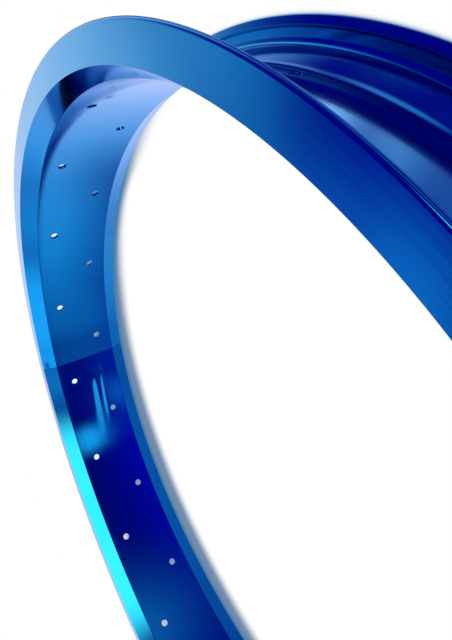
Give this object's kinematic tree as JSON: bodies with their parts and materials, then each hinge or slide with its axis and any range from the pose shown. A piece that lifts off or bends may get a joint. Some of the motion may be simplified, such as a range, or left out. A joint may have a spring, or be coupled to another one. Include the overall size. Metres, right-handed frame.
{
  "type": "bicycle rim",
  "caption": "Wide single-wall bicycle rim: a rolled aluminium hoop with a flat spoke bed, sloping shoulders, hooked side walls, staggered spoke holes and a valve hole.",
  "frame": {"origin": "centre of the wheel, on the axle line, half way between the two side walls", "axes": "+Z along the wheel's axle line, +X through the middle of the valve hole, so the butt joint of the hoop is on -X; the rim lies flat on one side wall"},
  "size_m": [0.4226, 0.4226, 0.067],
  "materials": {
    "rim": "blue anodised, smooth satin to glossy"
  },
  "bodies": {
    "root": {"rim": "rim"}
  },
  "joints": []
}
